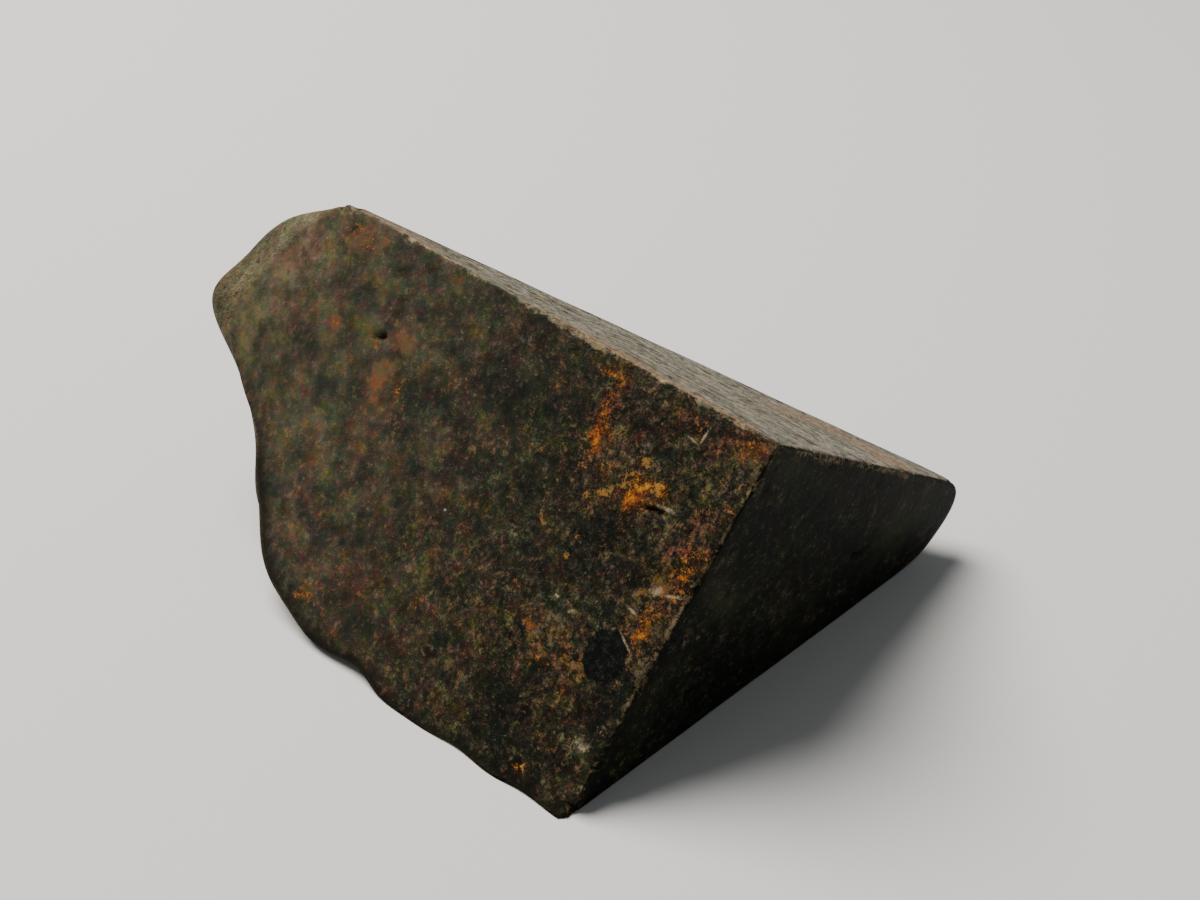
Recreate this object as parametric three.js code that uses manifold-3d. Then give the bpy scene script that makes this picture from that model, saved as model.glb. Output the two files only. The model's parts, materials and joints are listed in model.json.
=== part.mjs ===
// A corner piece sawn from a chondrite meteorite: three flat saw cuts meet at one sharp corner, and the
// rest is the stone's own weathered outside. The piece lies on a flat spot of that outside.
// Everything is measured from the sharp corner, in millimetres and degrees, with +Z up.
import * as THREE from 'three';
import { mergeVertices } from 'three/addons/utils/BufferGeometryUtils.js';
import Module from 'manifold-3d';

// ---- driving dimensions ----
const cornerHeight = 16.5; // the sharp corner above the table

// The three sawn edges run away from the corner: each by its compass heading (0 = +X, 90 = +Y) and climb.
const edges = {
  ridge: { runs: [136.8, 3.8], length: 31, steps: 33 },
  side: { runs: [49, -33.4], length: 19, steps: 20 },
  front: { runs: [215.9, -54.5], length: 20, steps: 21 },
};

// The outside is a rounded polyhedron: each facet by the heading and climb it faces and how far it lies
// from the corner.
const facets = [
  { faces: [0, -90], distance: 16.7 }, // underside, a little below the table so that it rests flat
  { faces: [211, 42], distance: 7.4 }, // bevel over the tip
  { faces: [207, 35], distance: 15.6 }, // bevel on the end of the tip
  { faces: [151, 44], distance: 29.1 }, // crown of the tip
  { faces: [183, 6], distance: 35.2 }, // end of the tip
  { faces: [195, -2], distance: 22.95 }, // left flank
  { faces: [213, -43], distance: 23.8 }, // below the left flank
  { faces: [161, -35], distance: 36 }, // left foot
  { faces: [143, -2], distance: 38.6 }, // round from the tip to the back
  { faces: [119, 15], distance: 36 }, // back of the tip
  { faces: [128, -25], distance: 37 }, // back, left foot
  { faces: [100, -38], distance: 28.4 }, // round under the back
  { faces: [60, -58], distance: 22.6 }, // round under the back, right
  { faces: [84, -8], distance: 22.3 }, // back
  { faces: [67, 26], distance: 10.3 }, // bevel behind the top
  { faces: [60, -18], distance: 23.9 }, // back, right
  { faces: [39, -10], distance: 20.8 }, // right end
  { faces: [24, 45], distance: 3.1 }, // fall of the top towards the right end
];
const facetCrispness = 24; // a higher power keeps the joins between facets tighter
const heart = new THREE.Vector3(12, 6, 9); // the middle of the stone, by its distances along the edges
const rimDepth = 2.5; // how far from a saw cut the outside may start to leave its plain form

// Swells (+) and thumbprint hollows (-) of the outside. Each is aimed by its shares of the ridge, side
// and front directions.
const swells = [
  { aim: [0.965, 0.035, 0.245], width: 2.5, rise: 1.6 }, // shoulder of the tip
  { aim: [0.905, 0, 0.425], width: 2.2, rise: -1.3 }, // notch under the shoulder
  { aim: [0.745, 0, 0.665], width: 2.3, rise: 0.8 }, // heel of the left foot
  { aim: [0.63, 0.46, 0.63], width: 6.5, rise: 0.5 }, // the spot it rests on
  { aim: [0.55, 0, 0.83], width: 4, rise: -0.3 }, // the underside lifts off the table here
  { aim: [0.05, 0.5, 0.86], width: 3.6, rise: -0.5 }, // and here
  { aim: [0.85, 0.33, 0.42], width: 4.4, rise: -1 },
  { aim: [0.8, 0.59, 0.12], width: 3.2, rise: -0.7 },
  { aim: [0.6, 0.58, 0.55], width: 3.6, rise: -1.1 },
  { aim: [0.55, 0.82, 0.16], width: 4.2, rise: -0.9 },
  { aim: [0.36, 0.8, 0.48], width: 2.6, rise: -0.7 },
  { aim: [0.28, 0.95, 0.13], width: 2.4, rise: -0.45 },
  { aim: [0.12, 0.94, 0.3], width: 3.4, rise: -0.6 },
];
const relief = { waves: 24, height: 0.065, longest: 9, shortest: 3 }; // uneven all over the outside

// Pits in the sawn faces, by their distances along the two edges that border the face.
const pits = [
  { face: 'main', ridge: 4.1, front: 5.5, width: 1.6, depth: 0.45 },
  { face: 'main', ridge: 23.2, front: 5.4, width: 1.4, depth: 0.35 },
  { face: 'main', ridge: 1.1, front: 16.6, width: 1, depth: 0.3 },
  { face: 'main', ridge: 17.4, front: 16.8, width: 1.2, depth: 0.3 },
  { face: 'main', ridge: 26.5, front: 12.2, width: 1.4, depth: 0.3 },
  { face: 'top', ridge: 9, side: 9.5, width: 1.6, depth: 0.35 },
  { face: 'top', ridge: 18.5, side: 4.2, width: 1.4, depth: 0.3 },
  { face: 'side', side: 5, front: 13.5, width: 1.4, depth: 0.3 },
  { face: 'side', side: 14.2, front: 5.2, width: 1.2, depth: 0.3 },
];
const pitSquash = 0.75; // a pit's shorter width as a share of its longer one

// Chips broken from the sawn edges: where along the edge, how long and how deep.
const chips = [
  { edge: 'ridge', at: 2.3, length: 1.1, bite: 0.35 },
  { edge: 'ridge', at: 7.2, length: 1.5, bite: 0.4 },
  { edge: 'ridge', at: 12.8, length: 2, bite: 0.5 },
  { edge: 'ridge', at: 19.3, length: 1.4, bite: 0.4 },
  { edge: 'ridge', at: 24.6, length: 1.6, bite: 0.45 },
  { edge: 'side', at: 4.2, length: 1.6, bite: 0.45 },
  { edge: 'side', at: 9.6, length: 2, bite: 0.5 },
  { edge: 'side', at: 14.4, length: 1.4, bite: 0.45 },
  { edge: 'front', at: 2.1, length: 1.7, bite: 0.5 },
  { edge: 'front', at: 7.4, length: 1.4, bite: 0.45 },
  { edge: 'front', at: 12.9, length: 2.2, bite: 0.65 },
  { edge: 'front', at: 17.2, length: 1.5, bite: 0.5 },
];
const cornerKnock = { radius: 1, depth: 0.35 }; // the very corner is knocked off

// ---- directions ----
function direction([heading, climb]) {
  const azimuth = THREE.MathUtils.degToRad(heading);
  const elevation = THREE.MathUtils.degToRad(climb);
  const level = Math.cos(elevation);
  return new THREE.Vector3(level * Math.cos(azimuth), level * Math.sin(azimuth), Math.sin(elevation));
}

const along = {
  ridge: direction(edges.ridge.runs),
  side: direction(edges.side.runs),
  front: direction(edges.front.runs),
};

// The point reached from the corner by going these distances along the ridge, side and front edges.
const edgeFrame = new THREE.Matrix4().makeBasis(along.ridge, along.side, along.front);

function travel(ridge, side, front) {
  return new THREE.Vector3(ridge, side, front).applyMatrix4(edgeFrame);
}

// Each sawn face lies between two edges; the first crossed with the second points out of the stone.
const faceEdges = { main: ['ridge', 'front'], top: ['side', 'ridge'], side: ['front', 'side'] };

function outwardNormal(face) {
  const [first, second] = faceEdges[face];
  return along[first].clone().cross(along[second]).normalize();
}

// ---- outside of the stone ----
const facetPlanes = facets.map(({ faces, distance }) => ({ normal: direction(faces), distance }));

// How far the rounded polyhedron reaches from the corner in one direction: a soft minimum of its facets.
function polyhedronReach(aim) {
  let sum = 0;
  for (const { normal, distance } of facetPlanes) {
    sum += (Math.max(aim.dot(normal), 0) / distance) ** facetCrispness;
  }
  return sum ** (-1 / facetCrispness);
}

const swellSpots = swells.map(({ aim, width, rise }) => {
  const toward = travel(...aim).normalize();
  return { centre: toward.multiplyScalar(polyhedronReach(toward)), width, rise };
});

// Waves that cross the stone in directions spread evenly over a sphere. Steps of the square root of two
// mix their lengths, and don't fall in with the steps of the golden angle that turn their headings.
const goldenAngle = 137.508;
const reliefWaves = Array.from({ length: relief.waves }, (_, i) => {
  const climb = THREE.MathUtils.radToDeg(Math.asin(1 - (2 * i + 1) / relief.waves));
  const wavelength = relief.longest * (relief.shortest / relief.longest) ** ((i * Math.SQRT2) % 1);
  return direction([i * goldenAngle, climb]).multiplyScalar((2 * Math.PI) / wavelength);
});

function rise(point) {
  let sum = 0;
  reliefWaves.forEach((wave, i) => {
    sum += relief.height * Math.sin(point.dot(wave) + i);
  });
  for (const { centre, width, rise: height } of swellSpots) {
    sum += height * Math.exp(-point.distanceToSquared(centre) / width ** 2);
  }
  return sum;
}

// The outside in one direction, as distances along the three edges. The polyhedron is pushed in or out,
// away from the heart of the stone, and the push dies away across a saw cut so that its rim stays flat.
function outsidePoint(aim) {
  const start = aim.clone().applyMatrix4(edgeFrame);
  const scale = polyhedronReach(start.clone().normalize()) / start.length();
  const point = aim.clone().multiplyScalar(scale);
  const push = point.clone().sub(heart).normalize().multiplyScalar(rise(start.multiplyScalar(scale)));
  for (const axis of ['x', 'y', 'z']) {
    point[axis] += push[axis] * Math.min(point[axis] / rimDepth, 1);
  }
  return point;
}

// A box is squeezed into the stone: its three near faces become the sawn faces, its three far faces the
// outside, and what would hang below the table is levelled to it.
function makeStone() {
  const { ridge, side, front } = edges;
  const box = new THREE.BoxGeometry(
    ridge.steps, side.steps, front.steps,
    ridge.steps, side.steps, front.steps,
  );
  box.translate(ridge.steps / 2, side.steps / 2, front.steps / 2);
  const points = box.attributes.position;
  const steps = new THREE.Vector3(ridge.steps, side.steps, front.steps);
  const lengths = new THREE.Vector3(ridge.length, side.length, front.length);
  const share = new THREE.Vector3();
  for (let i = 0; i < points.count; i += 1) {
    share.fromBufferAttribute(points, i).round().divide(steps);
    const outward = Math.max(share.x, share.y, share.z); // 0 at the corner, 1 on the outside
    const point = new THREE.Vector3();
    if (outward > 0) point.copy(outsidePoint(share.clone().multiply(lengths)));
    point.multiplyScalar(outward).applyMatrix4(edgeFrame);
    points.setXYZ(i, point.x, point.y, Math.max(point.z, -cornerHeight));
  }
  return box;
}

// ---- cutting tools ----
// A pit is scooped by a rounded lump whose middle is held just above the face.
const scoopLift = 0.5; // as a share of the pit's depth

function makeScoop({ face, ridge = 0, side = 0, front = 0, width, depth }) {
  const normal = outwardNormal(face);
  const lift = scoopLift * depth;
  const scoop = new THREE.IcosahedronGeometry(1, 1);
  scoop.scale(width / 2, (pitSquash * width) / 2, depth + lift);
  scoop.applyMatrix4(new THREE.Matrix4().lookAt(normal, new THREE.Vector3(), along[faceEdges[face][0]]));
  const centre = travel(ridge, side, front).addScaledVector(normal, lift);
  return scoop.translate(centre.x, centre.y, centre.z);
}

// A chip is bitten by an eight-sided splinter that lies along the edge. It is twice as long as the chip
// and its middle stands outside the edge by the bite, so it leaves a notch of just the chip's size.
function makeSplinter({ edge, at, length, bite }) {
  const outward = new THREE.Vector3();
  for (const face of Object.keys(faceEdges)) {
    if (faceEdges[face].includes(edge)) outward.add(outwardNormal(face));
  }
  outward.normalize();
  const splinter = new THREE.OctahedronGeometry(1);
  splinter.scale(length, 2 * bite, 2 * bite);
  splinter.rotateX(at); // no two chips break at the same angle
  const across = outward.clone().cross(along[edge]).normalize();
  splinter.applyMatrix4(new THREE.Matrix4().makeBasis(along[edge], across, outward));
  const centre = along[edge].clone().multiplyScalar(at).addScaledVector(outward, bite);
  return splinter.translate(centre.x, centre.y, centre.z);
}

function makeCornerKnock() {
  const { radius, depth } = cornerKnock;
  const centre = travel(-1, -1, -1).normalize().multiplyScalar(radius - depth);
  return new THREE.IcosahedronGeometry(radius, 0).translate(centre.x, centre.y, centre.z);
}

// ---- cutting ----
const wasm = await Module();
wasm.setup();

function toSolid(geometry) {
  geometry.deleteAttribute('normal');
  geometry.deleteAttribute('uv');
  const merged = mergeVertices(geometry);
  const vertProperties = new Float32Array(merged.attributes.position.array);
  const triVerts = new Uint32Array(merged.index.array);
  return new wasm.Manifold(new wasm.Mesh({ numProp: 3, vertProperties, triVerts }));
}

function toGeometry(solid) {
  const { vertProperties, triVerts } = solid.getMesh();
  const geometry = new THREE.BufferGeometry();
  geometry.setAttribute('position', new THREE.BufferAttribute(vertProperties, 3));
  geometry.setIndex(new THREE.BufferAttribute(triVerts, 1));
  geometry.computeVertexNormals();
  return geometry;
}

const tools = [...pits.map(makeScoop), ...chips.map(makeSplinter), makeCornerKnock()];
const cutStone = tools.reduce((stone, tool) => stone.subtract(toSolid(tool)), toSolid(makeStone()));

// ---- the part ----
const stoneMaterial = new THREE.MeshStandardMaterial({ color: 0x3a3128, roughness: 0.85, metalness: 0 });
const meteorite = new THREE.Mesh(toGeometry(cutStone), stoneMaterial);
meteorite.name = 'meteorite';

// The origin is on the table, under the middle of the stone's bounding box.
meteorite.geometry.computeBoundingBox();
const middle = meteorite.geometry.boundingBox.getCenter(new THREE.Vector3());
meteorite.position.set(-middle.x, -middle.y, cornerHeight);

const part = new THREE.Group();
part.add(meteorite);

export default part;
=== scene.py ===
import json
from types import SimpleNamespace
import bpy
import numpy as np
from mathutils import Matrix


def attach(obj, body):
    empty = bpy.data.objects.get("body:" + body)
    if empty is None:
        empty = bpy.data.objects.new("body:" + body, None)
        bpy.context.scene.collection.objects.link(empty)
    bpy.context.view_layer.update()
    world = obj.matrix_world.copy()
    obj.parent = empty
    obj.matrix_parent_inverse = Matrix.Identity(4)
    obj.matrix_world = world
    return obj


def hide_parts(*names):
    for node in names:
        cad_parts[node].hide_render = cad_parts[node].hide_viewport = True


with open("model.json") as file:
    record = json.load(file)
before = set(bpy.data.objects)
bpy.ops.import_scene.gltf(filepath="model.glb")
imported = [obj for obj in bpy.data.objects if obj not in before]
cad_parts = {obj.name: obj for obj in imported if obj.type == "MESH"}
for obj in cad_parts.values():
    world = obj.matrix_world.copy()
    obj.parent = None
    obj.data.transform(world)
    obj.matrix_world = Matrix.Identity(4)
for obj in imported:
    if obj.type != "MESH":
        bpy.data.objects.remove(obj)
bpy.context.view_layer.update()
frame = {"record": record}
print("frame loaded")

mm = 0.001
tableSize = 256  # how many random numbers and slopes a noise draws on
noiseGain = 1.7  # brings gradient noise to about -1 to 1
hollowRadius = (0.15, 0.4)  # shares of a cell: the least, and what chance adds
goldenAngle = 137.508
planeSlack = 1e-6  # mm, a point this close to a saw cut lies on it
tiny = 1e-9  # keeps a vector of no length from being divided by 0
farOff = 9  # mm, said of places that aren't on the inclusion's face
# each kind of unevenness has random numbers of its own
seeds = {
    "skin": 11, "dents": 21, "grain": 31, "plucked": 41,
    "pits": 51, "inclusion": 52, "crumbs": 61, "chips": 71,
}


def unit(vectors):
    # vectors of length 1
    return vectors / np.maximum(np.linalg.norm(vectors, axis=-1, keepdims=True), tiny)


def direction(heading, climb):
    # compass heading (0 is +X, 90 is +Y) and climb, both in degrees
    azimuth, elevation = np.radians(heading), np.radians(climb)
    level = np.cos(elevation)
    return np.stack([level * np.cos(azimuth), level * np.sin(azimuth), np.sin(elevation)], -1)


# The three saw cuts are the flat faces that the frame names. They meet at the sharp corner, and every two
# of them meet along a sawn edge that runs from the corner into the stone. Everything here is in mm.
cutNames = ["main", "top", "side"]
marks = {m["name"]: m for m in frame["record"]["mounts"]}
cutOut = np.array([marks[name + "_cut"]["axis"] for name in cutNames])
cutSpot = np.array([marks[name + "_cut"]["pos_m"] for name in cutNames]) / mm
corner = np.linalg.solve(cutOut, np.sum(cutOut * cutSpot, axis=1))
edgeNames = ["ridge", "side", "front"]
edgeCuts = {"ridge": ("main", "top"), "side": ("top", "side"), "front": ("side", "main")}
edgeRuns = unit(np.array([
    np.cross(*(cutOut[cutNames.index(name)] for name in edgeCuts[edge])) for edge in edgeNames
]))
toEdges = np.linalg.inv(edgeRuns)  # turns a place into its distances along the three edges

stone = {
    "steps": (178, 92, 116),  # quads along the ridge, side and front edges
    "crowding": 0.3,  # how much closer together the rows lie beside the sawn edges
    "lengths": (31, 19, 20),  # how far each sawn edge runs from the corner to the outside
    # heading and climb that each facet of the outside faces, and its distance from the corner
    "facets": [
        (0, -90, 16.7), (211, 42, 7.4), (207, 35, 15.6), (151, 44, 29.1), (183, 6, 35.2), (195, -2, 22.95),
        (213, -43, 23.8), (161, -35, 36), (143, -2, 38.6), (119, 15, 36), (128, -25, 37), (100, -38, 28.4),
        (60, -58, 22.6), (84, -8, 22.3), (67, 26, 10.3), (60, -18, 23.9), (39, -10, 20.8), (24, 45, 3.1),
    ],
    "crispness": 24,  # a higher power keeps the joins between facets tighter
    "heart": (12, 6, 9),  # middle of the stone, by its distances along the edges
    "rimDepth": 2.5,  # how far from a saw cut the outside may start to leave its plain form
    # swells and hollows: shares of the ridge, side and front directions, width, rise
    "swells": [
        (0.965, 0.035, 0.245, 2.5, 1.6), (0.905, 0, 0.425, 2.2, -1.3), (0.745, 0, 0.665, 2.3, 0.8),
        (0.63, 0.46, 0.63, 6.5, 0.5), (0.55, 0, 0.83, 4, -0.3), (0.05, 0.5, 0.86, 3.6, -0.5),
        (0.85, 0.33, 0.42, 4.4, -1), (0.8, 0.59, 0.12, 3.2, -0.7), (0.6, 0.58, 0.55, 3.6, -1.1),
        (0.55, 0.82, 0.16, 4.2, -0.9), (0.36, 0.8, 0.48, 2.6, -0.7), (0.28, 0.95, 0.13, 2.4, -0.45),
        (0.12, 0.94, 0.3, 3.4, -0.6),
    ],
    "waves": {"count": 24, "height": 0.065, "longest": 9, "shortest": 3},
    "skin": [(2.1, 0.13), (0.95, 0.12), (0.5, 0.06)],  # size and height of the weathered roughness
    "skinRim": 0.5,  # the roughness dies away this close to a saw cut
    "dents": {"size": 1.9, "kept": 0.45, "depth": 0.16},  # small hollows weathered out of the skin
    "grain": [(1.1, 0.008), (0.42, 0.012)],  # size and height of the unevenness of the sawn faces
    "plucked": {"size": 0.9, "kept": 0.4, "depth": 0.06},  # grains torn out by the saw
    "reliefRim": 0.3,  # pits and grains of the sawn faces die away this close to their rim
    "restLayer": 0.12,  # how gently the underside goes over into the flat spot that it lies on
}

facets = np.array(stone["facets"], float)
facetFacing = direction(facets[:, 0], facets[:, 1])

# Pits: the cut they are sunk into, distances along its two edges (in the order ridge, side, front),
# half-widths along and across, the turn of the long way from the first edge in degrees, depth.
pits = [
    ("main", 3.9, 5.5, 0.8, 0.17, 14, 0.3), ("main", 23.2, 5.3, 0.5, 0.24, 35, 0.35),
    ("main", 1.1, 16.6, 0.35, 0.3, 0, 0.3), ("top", 9, 9.5, 0.5, 0.3, 20, 0.25),
    ("top", 18.5, 4.2, 0.4, 0.3, 0, 0.2), ("side", 5, 13.5, 0.7, 0.5, 40, 0.3),
    ("side", 14.2, 5.2, 0.6, 0.4, 0, 0.3),
]
# How far and how finely their outlines wander, and the shares of their width where the wall starts and ends.
pitShape = {"wander": 0.35, "wanderSize": 0.6, "wall": (1.1, 0.2)}

chipping = {
    "blunt": 0.03,  # how much of every sawn edge is worn off
    "crumbs": [(1.5, 0.1), (0.5, 0.08)],  # size and depth of the crumbling
    "hardest": -0.1,  # where the crumbling noise is below this, the edge is worn no less
    "least": 0.01,  # what is worn off everywhere
    "wander": 0.9, "wanderSize": 0.5,  # how unevenly a chip is broken out, and how finely
    "notch": (1, 0.1),  # shares of a chip's half length where its bite starts and is full
    "shows": 0.08,  # an edge planed off this deep looks freshly broken
    "cornerKnock": 0.25,
    # edge, place along it, length, bite
    "chips": [
        ("ridge", 2.3, 1.1, 0.2), ("ridge", 7.2, 1.5, 0.22), ("ridge", 12.8, 2, 0.26),
        ("ridge", 19.3, 1.4, 0.22), ("ridge", 24.6, 1.6, 0.26), ("ridge", 29.6, 3.2, 0.5),
        ("side", 4.2, 1.6, 0.24), ("side", 9.6, 2, 0.28), ("side", 14.4, 1.4, 0.24),
        ("front", 2.1, 1.7, 0.22), ("front", 7.4, 1.4, 0.22), ("front", 12.9, 2.2, 0.3),
        ("front", 17.2, 1.5, 0.24), ("front", 19.8, 2.6, 0.4),
    ],
}

inclusion = {
    "at": (2.42, 0, 12.6), "radius": 1.2,
    "tall": 1.1,  # its height as a share of its width
    "groove": 0.03, "grooveWidth": 0.09,
    "wander": 0.05, "wanderSize": 1.1,  # how unevenly round it is, and how finely
    "smoothness": 0.7,  # how much of the sawn face's unevenness it lacks
}

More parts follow.
